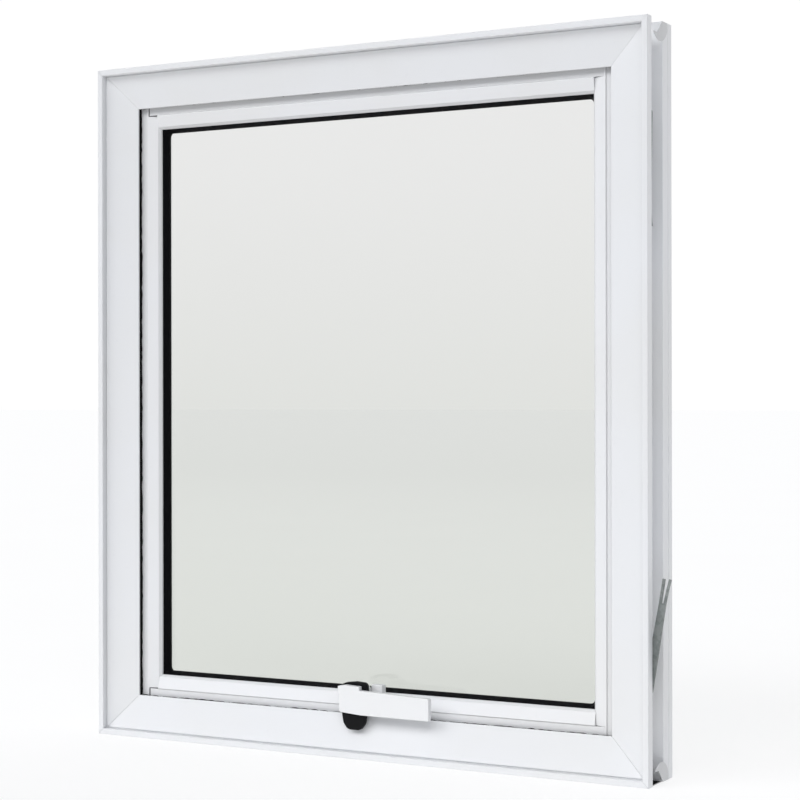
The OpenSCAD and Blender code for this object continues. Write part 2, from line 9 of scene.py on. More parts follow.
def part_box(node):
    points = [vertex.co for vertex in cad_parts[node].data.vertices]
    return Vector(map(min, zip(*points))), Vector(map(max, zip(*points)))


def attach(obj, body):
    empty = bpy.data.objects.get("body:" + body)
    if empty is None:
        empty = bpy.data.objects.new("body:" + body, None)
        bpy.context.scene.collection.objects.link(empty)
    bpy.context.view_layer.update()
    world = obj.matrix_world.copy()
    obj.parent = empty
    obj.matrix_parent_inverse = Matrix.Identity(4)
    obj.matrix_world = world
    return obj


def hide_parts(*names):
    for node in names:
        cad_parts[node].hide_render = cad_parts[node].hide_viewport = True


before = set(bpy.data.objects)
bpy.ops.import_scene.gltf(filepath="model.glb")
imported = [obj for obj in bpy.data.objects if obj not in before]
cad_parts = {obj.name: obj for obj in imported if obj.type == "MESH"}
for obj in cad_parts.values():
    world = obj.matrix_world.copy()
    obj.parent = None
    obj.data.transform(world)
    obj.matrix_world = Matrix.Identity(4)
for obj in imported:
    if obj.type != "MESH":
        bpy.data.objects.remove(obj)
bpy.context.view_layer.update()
MM = 0.001

# The camera: the viewer stands in the room, to the right of the window and level with its
# middle, and looks at it through a fairly long lens.
lens_mm = 86.48
azimuth, elevation, roll = (math.radians(a) for a in (28.496, -0.02, -0.091))
lens = bpy.data.cameras.new("camera")
lens.lens, lens.sensor_width = lens_mm, 36
camera = bpy.data.objects.new("camera", lens)
bpy.context.scene.collection.objects.link(camera)
bpy.context.scene.camera = camera
back = Vector((math.sin(azimuth) * math.cos(elevation),
               -math.cos(azimuth) * math.cos(elevation), math.sin(elevation)))
camera.location = (0.91298, -1.59014, 0.341)
camera.rotation_mode = "QUATERNION"
camera.rotation_quaternion = Quaternion(back, roll) @ (-back).to_track_quat("-Z", "Y")


# The outer frame: four aluminium extrusions, mitred at 45 degrees, drawn together by cast
# angles inside their rear boxes, and powder coated white. Each bar is one skin swept along
# its side of the window, with the small radii that its extrusion die leaves.
head_low, head_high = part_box("frame_head")
half_w, height, front = head_high.x / MM, head_high.z / MM, head_low.y / MM
frame_depth = head_high.y / MM - front
length = {"left": height, "right": height, "head": 2 * half_w, "sill": 2 * half_w}


def unit(v):
    """Vectors at length 1."""
    return v / np.maximum(np.linalg.norm(v, axis=-1, keepdims=True), 1e-9)


def rounded(corners, steps=4):
    """Closed outline from (x, y, radius) corners. Each becomes an arc tangent to both its sides,
    whose centre lies on the bisector at radius / sin(half angle). Radius 0 keeps the point."""
    corners = np.array(corners, float)
    at, r = corners[:, :2], np.maximum(corners[:, 2:], 1e-9)
    a, b = unit(np.roll(at, 1, 0) - at), unit(np.roll(at, -1, 0) - at)
    half = np.arccos(np.clip((a * b).sum(1, keepdims=True), -1, 1)) / 2
    centre = at + unit(a + b) * r / np.sin(half)
    u, v = ((at + side * r / np.tan(half) - centre) / r for side in (a, b))
    turn = np.maximum(np.pi - 2 * half, 1e-6)[:, None]
    t = np.linspace(0, 1, steps + 1)[:, None]
    arc = (np.sin((1 - t) * turn) * u[:, None] + np.sin(t * turn) * v[:, None]) / np.sin(turn)
    return np.where(r[:, None] > 1e-6, centre[:, None] + r[:, None] * arc, at[:, None]).reshape(-1, 2)


def swept(rings):
    """Closed shell through rings of points: quads between neighbours and a flat cap at each end."""
    count, n = rings.shape[:2]
    low = np.arange(count - 1)[:, None] * n + np.arange(n)
    high = np.arange(count - 1)[:, None] * n + (np.arange(n) + 1) % n
    quads = np.stack([low, high, high + n, low + n], -1).reshape(-1, 4)
    caps = np.stack([np.arange(n), np.arange(n)[::-1] + (count - 1) * n])
    return rings.reshape(-1, 3), [quads, caps]


def on_side(side, inset, depth, run):
    """Points on one side of the window, from the inset behind the frame's outer edge, the depth
    behind the lip and the run from the left or lower corner."""
    if side in ("left", "right"):
        x = (half_w - inset) * (1 if side == "right" else -1)
        return np.stack(np.broadcast_arrays(x, front + depth, run), -1)
    z = inset if side == "sill" else height - inset
    return np.stack(np.broadcast_arrays(run - half_w, front + depth, z), -1)


def bar(side, outline, near=None, far=None, gap=0.0):
    """An (inset, depth) outline swept along one side, between two distances from its corners.
    With none given, each point stops at its own inset, which makes a mitre."""
    u, d = outline.T
    near = u + gap if near is None else near
    far = near if far is None else far
    return swept(np.stack([on_side(side, u, d, near), on_side(side, u, d, length[side] - far)]))


def solid(name, shells, finish, body, nodes=(), ease=0, sharp=35):
    """One piece from closed shells in millimetres: doubles merged, faces turned outwards, edges
    eased by a bevel of that width, and flat faces kept flat by weighted normals."""
    mesh, start, faces = bpy.data.meshes.new(name), 0, []
    for points, groups in shells:
        for group in groups:
            faces += (group + start).tolist()
        start += len(points)
    mesh.from_pydata((np.concatenate([p for p, _ in shells]) * MM).tolist(), [], faces)
    tidy = bmesh.new()
    tidy.from_mesh(mesh)
    bmesh.ops.remove_doubles(tidy, verts=tidy.verts, dist=1e-7)
    bmesh.ops.recalc_face_normals(tidy, faces=tidy.faces)
    tidy.to_mesh(mesh)
    tidy.free()
    mesh.shade_smooth()
    mesh.set_sharp_from_angle(angle=math.radians(sharp))
    mesh.materials.append(finish)
    piece = bpy.data.objects.new(name, mesh)
    bpy.context.scene.collection.objects.link(piece)
    if ease:
        bevel = piece.modifiers.new("eased_edges", "BEVEL")
        bevel.width, bevel.segments, bevel.limit_method = ease * MM, 3, "ANGLE"
        bevel.angle_limit = math.radians(sharp)
    flats = piece.modifiers.new("flat_faces", "WEIGHTED_NORMAL")
    flats.keep_sharp, flats.weight = True, 100
    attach(piece, body)
    if nodes:
        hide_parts(*nodes)
    return piece


class Wire:
    """One output of a node. Arithmetic on wires and numbers adds Math nodes, and node() adds any
    other: its settings are set first, then each socket's value or link."""

    def __init__(self, tree, output=None):
        self.tree, self.output = tree, output

    def node(self, kind, settings, sockets, out=0):
        made = self.tree.nodes.new(kind)
        for name, value in settings.items():
            setattr(made, name, value)
        for name, value in sockets.items():
            if isinstance(value, Wire):
                self.tree.links.new(value.output, made.inputs[name])
            else:
                made.inputs[name].default_value = value
        return Wire(self.tree, made.outputs[out] if len(made.outputs) else None)

    def math(self, operation, a, b):
        return self.node("ShaderNodeMath", {"operation": operation}, {0: a, 1: b})

    def __add__(self, other):
        return self.math("ADD", self, other)

    def __mul__(self, other):
        return self.math("MULTIPLY", self, other)

    def __sub__(self, other):
        return self.math("SUBTRACT", self, other)

    def __rsub__(self, other):
        return self.math("SUBTRACT", other, self)

    __radd__, __rmul__ = __add__, __mul__

    def noise(self, scale, detail=2, stretch=(1, 1, 1), rough=0.5):
        """Noise from 0 to 1 on the piece's own coordinates, in waves per metre."""
        place = self.node("ShaderNodeTexCoord", {}, {}, "Object")
        place = self.node("ShaderNodeMapping", {}, {"Vector": place, "Scale": stretch})
        return self.node("ShaderNodeTexNoise", {}, {"Vector": place, "Scale": scale,
                                                    "Detail": detail, "Roughness": rough}, 0)

    def step(self, value, low, high):
        """0 below low, 1 above high and smooth between."""
        return self.node("ShaderNodeMapRange", {"interpolation_type": "SMOOTHSTEP"},
                         {"Value": value, "From Min": low, "From Max": high})

    def blend(self, share, first, second):
        """The first colour where share is 0 and the second where it is 1."""
        first, second = (c if isinstance(c, Wire) else (*c, 1) for c in (first, second))
        return self.node("ShaderNodeMix", {"data_type": "RGBA"}, {0: share, 6: first, 7: second}, 2)

    def bump(self, relief, depth_mm, strength=1.0):
        """Normals of a relief that is depth_mm from its low to its high points."""
        return self.node("ShaderNodeBump", {}, {"Height": relief, "Distance": depth_mm * MM,
                                                "Strength": strength})


def shaded(name, sockets_of):
    """A material whose Principled sockets are what sockets_of(wire) gives."""
    made = bpy.data.materials.new(name)
    made.use_nodes = True
    made.node_tree.nodes.clear()
    wire = Wire(made.node_tree)
    shader = wire.node("ShaderNodeBsdfPrincipled", {}, sockets_of(wire))
    wire.node("ShaderNodeOutputMaterial", {}, {"Surface": shader})
    return made


def powder_coat(name, colour, stretch):
    """White polyester powder on aluminium: fine orange peel, faint die lines along the bar,
    clouds of thinner coat, and a little dust that dulls the gloss."""
    def sockets(wire):
        peel, lines = wire.noise(700, 3), wire.noise(900, 2, stretch)
        cloud, dust = wire.noise(7, 3), wire.step(wire.noise(160, 4), 0.62, 0.78)
        warm = tuple(c * s for c, s in zip(colour, (0.985, 0.98, 0.965)))
        tone = wire.blend(wire.step(cloud, 0.35, 0.7), colour, warm)
        grime = tuple(c * 0.94 for c in colour)
        return {"Base Color": wire.blend(dust * 0.35, tone, grime),
                "Roughness": 0.36 + peel * 0.08 + dust * 0.12,
                "Normal": wire.bump(peel + lines * 0.6, 0.02, 0.5), "Specular IOR Level": 0.45}
    return shaded(name, sockets)


upright, level = (1, 1, 0.012), (0.012, 1, 1)
frame_white = (0.80, 0.808, 0.825)
stretch_of = {"left": upright, "right": upright, "head": level, "sill": level}
coat_of = {side: powder_coat("white_powder_" + side, frame_white, stretch)
           for side, stretch in stretch_of.items()}

lip_w, lip_step, wall = 6, 5, 1.5
trim_w, nose_depth, pad_back, pad_w = 40.5, 15, 16.8, 7.5
flange_d, channel_w, rear_start, inner_w, quirk = 10.5, 12, 37, 20, 1.0
rear_groove, groove_w, groove_d = 10, 1, 0.6


def face_depth(inset):
    """Depth of the moulded face: steep beside the lip and flatter at the nose, as u ** 0.75."""
    return lip_step + (nose_depth - lip_step) * ((inset - lip_w) / (trim_w - lip_w)) ** 0.75


def curve(insets, behind):
    """Outline points without radius on the moulded face, or a wall behind it."""
    return [(u, face_depth(u) + behind, 0) for u in insets]


frame_outline = rounded(
    [(0, 0, 0.9), (lip_w, 0, 0.9), (lip_w, lip_step + 2 * quirk, 0.3),
     (lip_w + quirk, lip_step + 2 * quirk, 0.3), (lip_w + quirk, face_depth(lip_w + quirk), 0.2)]
    + curve(lip_w + (trim_w - lip_w) * np.linspace(0.16, 0.96, 24) ** 1.4, 0)
    + [(trim_w, nose_depth, 0.45), (trim_w, pad_back, 0.3), (trim_w - pad_w, pad_back, 0.3)]
    + curve(np.linspace(trim_w - pad_w, inner_w, 9), wall)
    + [(inner_w, frame_depth, 0.6), (0, frame_depth, 0.7),
       (0, frame_depth - rear_groove + groove_w, 0.2),
       (groove_d, frame_depth - rear_groove + groove_w, 0.2),
       (groove_d, frame_depth - rear_groove, 0.2), (0, frame_depth - rear_groove, 0.2),
       (0, rear_start, 0.5), (channel_w, rear_start, 0.4), (channel_w, flange_d, 0.4),
       (0, flange_d, 0.6)])
frame_nodes = {"left": "frame_jamb_left", "right": "frame_jamb_right", "head": "frame_head",
               "sill": "frame_sill"}
mitre_gap = {"left": 0.08, "right": 0.08, "head": 0.08, "sill": 0.25}
bars = {side: solid("frame_bar_" + side, [bar(side, frame_outline, gap=mitre_gap[side])],
                    coat_of[side], "frame", [node])
        for side, node in frame_nodes.items()}


# Drain slots: two slots through the outdoor wall of the sill, which let rain out of its box.
# They are punched in the extrusion before it is coated, so the coat covers their edges.
slot_l, slot_h, slot_low, slot_deep, punch_over = 25, 5, 4.5, 8, 5
slot_x = half_w / 2


def plate(outline, depth_a, depth_b):
    """Closed shell: an (x, z) outline carried straight from one depth to another."""
    x, z = outline.T
    ends = [np.stack([x, np.full(len(x), front + d), z], -1) for d in (depth_a, depth_b)]
    return swept(np.stack(ends))


def block(x0, x1, z0, z1, radius=0.5):
    """Rounded rectangle outline."""
    return rounded([(x0, z0, radius), (x1, z0, radius), (x1, z1, radius), (x0, z1, radius)])


cutter = solid("drain_cutter",
               [plate(block(s * slot_x - slot_l / 2, s * slot_x + slot_l / 2, slot_low,
                            slot_low + slot_h, slot_h / 2.01), frame_depth - slot_deep,
                      frame_depth + punch_over) for s in (-1, 1)],
               coat_of["sill"], "frame")
punch = bars["sill"].modifiers.new("drain_slots", "BOOLEAN")
punch.object, punch.solver = cutter, "EXACT"
bars["sill"].modifiers.move(1, 0)
punched = bpy.data.meshes.new_from_object(bars["sill"].evaluated_get(
    bpy.context.evaluated_depsgraph_get()))
bars["sill"].modifiers.clear()
bars["sill"].data = punched
bpy.data.objects.remove(cutter)


# Corner plates: thin pale plastic crescents pressed over the ends of the side channels, where
# the jambs meet the head and the sill.
plate_r, plate_mid, plate_t, plate_end, plate_drop, plate_air = 20, 29.25, 0.8, 0.5, 1, 1
notch_in, notch_top = 12.3, 35
touch = 0.02  # air between pieces that touch


def moulded(name, colour, rough, grain_mm, waves=1800, **constants):
    """Moulded plastic: an even fine grain, faint flow marks and slightly varied gloss."""
    def sockets(wire):
        grain, flow = wire.noise(waves, 2), wire.noise(40, 3, (1, 1, 0.25))
        shade = tuple(c * 0.86 for c in colour)
        return {"Base Color": wire.blend(wire.step(flow, 0.3, 0.75) * 0.6, colour, shade),
                "Roughness": rough + flow * 0.12, "Normal": wire.bump(grain, grain_mm, 0.6),
                **constants}
    return shaded(name, sockets)


def crescent(side, end):
    """Plate outline as (depth, z): the arc of a disc whose centre is plate_drop below the frame's
    end, kept clear of the flange and cut by the notch."""
    a0, a1 = np.arcsin((np.array([plate_end, notch_in]) + plate_drop) / plate_r)
    angle = np.linspace(a0, np.pi - a1, 40)
    near_flange = flange_d + plate_air
    arc = np.stack([np.clip(plate_mid + plate_r * np.cos(angle), near_flange,
                            2 * plate_mid - near_flange),
                    plate_r * np.sin(angle) - plate_drop], -1)
    rest = np.array([(notch_top - notch_in, notch_in), (notch_top - plate_end, plate_end)])
    depth, z = np.concatenate([arc, rest]).T
    x = [(half_w + out) * (1 if side == "right" else -1) for out in (touch, plate_t)]
    z = z if end == 0 else height - z
    return swept(np.stack([np.stack(np.broadcast_arrays(v, front + depth, z), -1) for v in x]))


corner_grey = moulded("corner_grey_plastic", (0.66, 0.665, 0.67), 0.45, 0.01)
solid("corner_plates", [crescent(s, e) for s in ("left", "right") for e in (0, 1)], corner_grey,
      "frame", ["corner_plates"], ease=0.2)


# Corner cleats: pressure die-cast aluminium angles, ribbed, inside the mitred boxes. They don't
# show, and keep their plain shape with the grey skin that casting leaves.
def cast(name, colour):
    """Raw die casting: dull, mottled, with a fine pebbled skin."""
    def sockets(wire):
        mottle = wire.noise(120, 4)
        return {"Base Color": wire.blend(mottle, colour, tuple(c * 0.7 for c in colour)),
                "Metallic": 0.8, "Roughness": 0.5 + mottle * 0.2,
                "Normal": wire.bump(wire.noise(900, 3), 0.04)}
    return shaded(name, sockets)


def refinish(names, finish):
    """Gives carried-over nodes their finish."""
    for name in names:
        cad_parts[name].data.materials.clear()
        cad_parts[name].data.materials.append(finish)


refinish(["corner_cleats"], cast("cast_aluminium", (0.62, 0.63, 0.64)))


# Pile seals: black polypropylene pile on a woven strip, pulled into the pad of each bar. The
# tufts lean and part, so the pile's inner edge is ragged against the white sash.
pile_out, pile_tip = 34.9, 21.2
pile_reach = {"left": 40.4, "right": 39.2, "head": 39.2, "sill": 39.9}
pile_end = {"left": 35, "right": 35, "head": 39.5, "sill": 39.5}
wave_pitch, wave_size = 2.5, 0.28
tufts_per_mm, tuft_r, tuft_lean, tuft_splay = 7, 0.13, 0.45, 0.28
rng = np.random.default_rng(7)


def wander(n, spread, reach):
    """Smooth noise around 0: white noise averaged over reach neighbours on both sides with Hann
    weights, whose squares add up to 1, so that it keeps its spread."""
    raw = rng.normal(size=n + 2 * reach)
    window = np.hanning(2 * reach + 1)
    smooth = np.convolve(raw, window / np.sqrt((window ** 2).sum()), "valid")
    return spread * smooth


def pile_core(side):
    """The body of the pile: a six-sided slab whose inner face wanders along the run, by 0.5 mm
    outwards to 0.7 mm inwards."""
    near, pile_in = pile_end[side], pile_reach[side]
    run = np.linspace(near, length[side] - near, int(length[side] / wave_pitch))
    edge = pile_in + 0.25 + np.clip(wander(len(run), wave_size, 2), -0.5, 0.7)
    out = np.full(len(run), pile_out)
    low, mid, top = pad_back + touch, (pad_back + pile_tip) / 2, pile_tip - 0.35
    corners = [(out, low), (out, top), ((out + edge) / 2, top + 0.25), (edge, top),
               (edge + 0.25, mid), (edge - 0.5, low)]
    return swept(np.stack([on_side(side, u, np.full(len(run), d), run) for u, d in corners], 1))


def tufts(side):
    """Thin three-sided spikes from the strip to the sash. Each leans at random, and away from
    the strip's middle."""
    near, pile_in = pile_end[side], pile_reach[side]
    n = int((length[side] - 2 * near) * tufts_per_mm)
    run, root = rng.uniform(near, length[side] - near, n), rng.uniform(pile_out, pile_in, n)
    lean = rng.normal(0, tuft_lean, n) + (root - (pile_out + pile_in) / 2) * tuft_splay
    top = pile_tip + rng.uniform(-0.7, 0.05, n)
    tip = np.clip(root + lean, pile_out - 0.4, pile_in + 1.1)
    slide = run + rng.normal(0, 0.5, n)
    turn = rng.uniform(0, 2 * np.pi, n)[:, None] + np.array([0, 2, 4]) * np.pi / 3
    roots = on_side(side, root[:, None] + tuft_r * np.cos(turn), np.full(turn.shape, pad_back + 1),
                    run[:, None] + tuft_r * np.sin(turn))
    points = np.concatenate([roots, on_side(side, tip, top, slide)[:, None]], 1)
    at = np.arange(n)[:, None, None] * 4
    faces = (at + np.array([[0, 1, 3], [1, 2, 3], [2, 0, 3], [2, 1, 0]])).reshape(-1, 3)
    return points.reshape(-1, 3), [faces]


def pile_black(wire):
    """Sockets of black pile: dull, with tufts that differ a little in tone."""
    tone = wire.noise(1500, 2)
    return {"Base Color": wire.blend(tone, (0.001, 0.001, 0.001), (0.010, 0.009, 0.010)),
            "Roughness": 0.85 + tone * 0.1, "Normal": wire.bump(wire.noise(2500, 1), 0.1),
            "Specular IOR Level": 0.05}


pile = shaded("pile", pile_black)
pile_nodes = {"left": "pile_seal_left", "right": "pile_seal_right", "head": "pile_seal_head",
              "sill": "pile_seal_sill"}
for side, node in pile_nodes.items():
    solid("pile_" + side, [pile_core(side), tufts(side)], pile, "frame", [node])


# The sash: two stiles that run the full height, and two rails whose ends are coped over them
# and held by screws in the extrusions' ports. Powder coated white, a shade lighter than the
# frame. The left joints stand a little open, and the right ones are drawn up tight.
sash_out, flange_in, land_in, ridge_in, lap_in, sash_tube_in = 34, 47, 47.3, 48, 49, 55
bevel_in, sash_in = 59.2, 61.5
sash_face, ridge, bevel_start, bevel_end, stop_back, sash_back = 21.5, 20, 23.2, 26, 28.2, 50
sash_wall, tube_lap, joint = 1.6, 1, {"left": 0.9, "right": 0.3}
lap_depth = ridge + (bevel_start - ridge) * (lap_in - ridge_in) / (bevel_in - ridge_in)
stile_tube = rounded(
    [(sash_out, sash_face, 0.7), (flange_in, sash_face, 0.7), (ridge_in, ridge, 0.5),
     (lap_in, lap_depth, 0), (lap_in, sash_face + sash_wall, 0),
     (sash_tube_in, sash_face + sash_wall, 0.2), (sash_tube_in, sash_back, 0.6),
     (sash_out, sash_back, 0.6)])
stile_face = rounded(
    [(lap_in - touch, lap_depth, 0), (bevel_in, bevel_start, 0.5), (sash_in, bevel_end, 0.4),
     (sash_in, stop_back, 0.3), (sash_tube_in - tube_lap, stop_back, 0),
     (lap_in - touch, sash_face + sash_wall + touch, 0)])
rail_body = rounded(
    [(flange_in, sash_face + touch, 0), (ridge_in, ridge, 0.8), (bevel_in, bevel_start, 0.5),
     (sash_in, bevel_end, 0.4), (sash_in, stop_back, 0.3), (sash_tube_in, stop_back, 0.1),
     (sash_tube_in, sash_back, 0.6), (sash_out, sash_back, 0.6),
     (sash_out, sash_face + sash_wall + touch, 0),
     (flange_in, sash_face + sash_wall + touch, 0)])
rail_flange = rounded(
    [(sash_out, sash_face, 0.7), (land_in, sash_face, 0),
     (land_in, sash_face + sash_wall, 0), (sash_out, sash_face + sash_wall, 0.1)])
sash_nodes = {"left": "sash_stile_left", "right": "sash_stile_right", "head": "sash_rail_top",
              "sill": "sash_rail_bottom"}


def coped(depth, end):
    """Where a rail's end meets the stile at each depth: square against its raised face, then
    sliding down its bevel, then square again against its tube."""
    on_bevel = np.interp(depth, [bevel_start, bevel_end], [bevel_in, sash_in])
    return joint[end] + np.where(depth > stop_back + tube_lap, sash_tube_in - tube_lap, on_bevel)


sash_coat = {side: powder_coat("sash_powder_" + side, (0.815, 0.82, 0.835), stretch)
             for side, stretch in stretch_of.items()}
for side, node in sash_nodes.items():
    if side in ("left", "right"):
        shells = [bar(side, stile_tube, sash_out),
                  bar(side, stile_face, land_in + joint[side])]
    else:
        shells = [bar(side, rail_body, *(coped(rail_body[:, 1], e) for e in joint)),
                  bar(side, rail_flange, *(lap_in + joint[e] for e in joint))]
    solid("sash_bar_" + side, shells, sash_coat[side], "sash", [node])


# The glazing: a 4 mm float pane on two plastic blocks, between a black moulded rubber gasket
# at the room side and a flat one outdoors, held by four snap-in aluminium beads.
glass_in, glass_front, glass_back, sight_in, bead_front = 58, 36, 40, 65, 43.2
corner_r, gasket_root, gasket_in, bead_in, bead_slope, bead_air = 4.5, 57, 62.4, 62.8, 5.6, 0.1
# The second colour is the pane's at its foot, darker and greener: a painted reflection of the dim
# foreground.
glass_white, glass_foot_painted_reflection = (0.865, 0.865, 0.86), (0.72, 0.74, 0.695)


def glass_sockets(wire):
    """Float glass with the faint film that handling leaves. Towards its foot it turns darker and
    greener: a painted reflection of the dim foreground.
    """
    film = wire.step(wire.noise(14, 5, rough=0.6), 0.45, 0.8)
    place = wire.node("ShaderNodeTexCoord", {}, {}, "Object")
    # The blend below darkens the pane towards its foot: a painted reflection of the dim foreground,
    # gone 0.72 m up.
    rise = wire.step(wire.node("ShaderNodeSeparateXYZ", {}, {"Vector": place}, "Z"), 0.0, 0.72)
    tint_and_painted_reflection = wire.blend(rise, glass_foot_painted_reflection, glass_white)
    return {"Base Color": wire.blend(film * 0.03, tint_and_painted_reflection, (0.7, 0.7, 0.68)),
            "Roughness": 0.002 + film * 0.006, "Transmission Weight": 1.0, "IOR": 1.45,
            "Specular IOR Level": 0.35}


def rubber_sockets(wire):
    """Black extruded rubber: matt, fine grained, with a bloom of dust."""
    dust = wire.step(wire.noise(260, 4), 0.5, 0.8)
    return {"Base Color": wire.blend(dust * 0.25, (0.002, 0.002, 0.003), (0.012, 0.012, 0.013)),
            "Roughness": 0.6 + dust * 0.2, "Normal": wire.bump(wire.noise(1600, 3), 0.02),
            "Specular IOR Level": 0.1}


def ring(outline, steps=8):
    """A gasket: an (inset, depth) outline carried round the window, with corners that turn about
    points just inside the sight line."""
    centre = sight_in + corner_r
    quarter = np.repeat(np.arange(4), steps + 1)
    turn = np.pi / 2 * (quarter + np.tile(np.linspace(0, 1, steps + 1), 4))[:, None]
    sx, sz = (np.array([1, -1, -1, 1])[quarter][:, None], np.array([1, 1, -1, -1])[quarter][:, None])
    reach = centre - outline[:, 0]
    x = sx * (half_w - centre) + np.cos(turn) * reach
    z = height / 2 + sz * (height / 2 - centre) + np.sin(turn) * reach
    return closed_ring(np.stack([x, np.broadcast_to(front + outline[:, 1], x.shape), z], -1))


def closed_ring(rings):
    """Shell through rings of points that comes back to its first ring."""
    count, n = rings.shape[:2]
    i, j = np.arange(count)[:, None], np.arange(n)
    k, m = (i + 1) % count, (j + 1) % n
    quads = np.stack([i * n + j, i * n + m, k * n + m, k * n + j], -1).reshape(-1, 4)
    return rings.reshape(-1, 3), [quads]


black_rubber = shaded("black_rubber", rubber_sockets)
glass = shaded("float_glass", glass_sockets)
room_lip = rounded([(gasket_root, stop_back + 1.5 * touch, 0),
                    (sash_in + 0.4, stop_back + 1.5 * touch, 0.2),
                    (sight_in - 0.8, glass_front - 3.2, 1.2), (sight_in, glass_front - 1.2, 0.5),
                    (sight_in, glass_front - touch, 0.2), (gasket_root, glass_front - touch, 0)])
out_lip = rounded([(glass_in, glass_back + touch, 0), (gasket_in, glass_back + touch, 0.2),
                   (gasket_in - 0.4, glass_back + 1.6, 0.5), (gasket_in, bead_front - touch, 0.3),
                   (glass_in, bead_front - touch, 0)])
solid("glass", [plate(block(glass_in - half_w, half_w - glass_in, glass_in, height - glass_in, 1),
                      glass_front, glass_back)], glass, "sash", ["glass_pane"], ease=0.3)
solid("gasket_inside", [ring(room_lip)], black_rubber, "sash", ["gasket_room"])
solid("gasket_outdoors", [ring(out_lip)], black_rubber, "sash",
      ["gasket_outside"])
bead_outline = rounded([(sash_tube_in + bead_air, bead_front, 0.3), (bead_in, bead_front, 0.5),
                        (bead_in - bead_slope, sash_back, 0.8),
                        (sash_tube_in + bead_air, sash_back, 0.3)])
bead_nodes = {"head": "glazing_bead_top", "sill": "glazing_bead_bottom",
              "left": "glazing_bead_left", "right": "glazing_bead_right"}
for side, node in bead_nodes.items():
    ends = sash_tube_in if side in ("head", "sill") else bead_in + bead_air
    solid("bead_" + side, [bar(side, bead_outline, ends)], sash_coat[side], "sash",
          [node])
refinish(["setting_blocks"], moulded("block_plastic", (0.05, 0.05, 0.055), 0.5, 0.02))


# Corner sealer: black pads of the same rubber, laid under the four lap joints of the sash
# before its corners are screwed together. They show only as the dark line in each joint:
# a real part, placed so that the joint gaps read dark, as painted shade.
sealer_painted_shade = []
for side in ("left", "right"):
    # Each pad sits just under the sash face, where it darkens the joint gap as painted shade.
    pad = block(lap_in - 0.1, bevel_in, sash_face + 0.15, sash_face + 1.4, 0.1)
    low, high = sash_out + 0.2, land_in - touch + joint[side]
    sealer_painted_shade += [bar(side, pad, low, length[side] - high), bar(side, pad, length[side] - high, low)]
solid("corner_sealer", sealer_painted_shade, black_rubber, "sash")


# The latch: a white zinc base screwed to the bottom rail, and a black nylon tongue that turns on
# it behind a white cast lever. The tongue hooks down over the trim of the sill.
pivot_z, hub_r = 59, 12
lever_front, lever_back, tongue_front, tongue_back, base_back = -2, 4, 4.4, 9.4, 20
hub_front, wing_front, ear_front = 9.7, 14, 12.5
rib_root, rib_reach = 0.5, 2.5
tongue_outline = rounded(
    [(-15.5, 69.2, 1.5), (-9, 72.0, 8), (2, 73.4, 14), (13.9, 72.4, 4.2), (13.9, 50, 6),
     (10.8, 33, 6), (6, 27, 6), (-7.5, 27, 6.5), (-12.2, 33, 6), (-15.5, 50, 6)], 8)
lever_outline = rounded(
    [(-13.4, 44.4, 2.2), (10, 42.6, 8), (83, 42.4, 1.6), (83, 63.2, 1.6), (8.8, 65.8, 0.6),
     (8.8, 69.4, 1.2), (-7, 70.2, 2), (-14.6, 69, 1.2), (-14.6, 64, 2), (-13.4, 62, 2)], 6)
white_casting = powder_coat("white_casting", (0.83, 0.835, 0.845), (1, 1, 1))
black_nylon = moulded("black_nylon", (0.004, 0.004, 0.005), 0.42, 0.015,
                      **{"Specular IOR Level": 0.15})
solid("latch_handle", [plate(lever_outline, lever_front, lever_back)], white_casting, "latch",
      ["latch_lever"], ease=1.1)
rib = block(-8, 8, 30, 34, 1)
solid("latch_hook", [plate(tongue_outline, tongue_front, tongue_back),
                     plate(rib, tongue_back - rib_root, tongue_back + rib_reach)],
      black_nylon, "latch", ["latch_tongue"], ease=1.2)


def disc(x, z, r, n=40):
    """Circle outline."""
    angle = np.linspace(0, 2 * np.pi, n, endpoint=False)
    return np.stack([x + r * np.cos(angle), z + r * np.sin(angle)], -1)


wing, ear = block(-hub_r, 36, 44, sash_in, 2), block(14, 26, 57.5, 70.5, 1.4)
solid("latch_mount", [plate(disc(0, pivot_z, hub_r), hub_front, base_back),
                      plate(wing, wing_front, base_back), plate(ear, ear_front, base_back)],
      white_casting, "sash", ["latch_base"], ease=0.7)


# Screws and rivets: zinc plated steel. A screw head is a shallow dome with a pressed cross, and
# a rivet head a plain dome. The latch's pivot head is flat, and painted with the lever. Only
# heads show, so the shanks are left out.
def plated(name, colour, rough=0.3):
    """Bright zinc plate with fine turning scratches and a duller patina in clouds."""
    def sockets(wire):
        cloud, scratch = wire.noise(90, 4), wire.noise(2600, 2, (1, 1, 0.15))
        return {"Base Color": wire.blend(cloud, colour, tuple(c * 0.72 for c in colour)),
                "Metallic": 0.9, "Roughness": rough + cloud * 0.22,
                "Normal": wire.bump(scratch, 0.006)}
    return shaded(name, sockets)


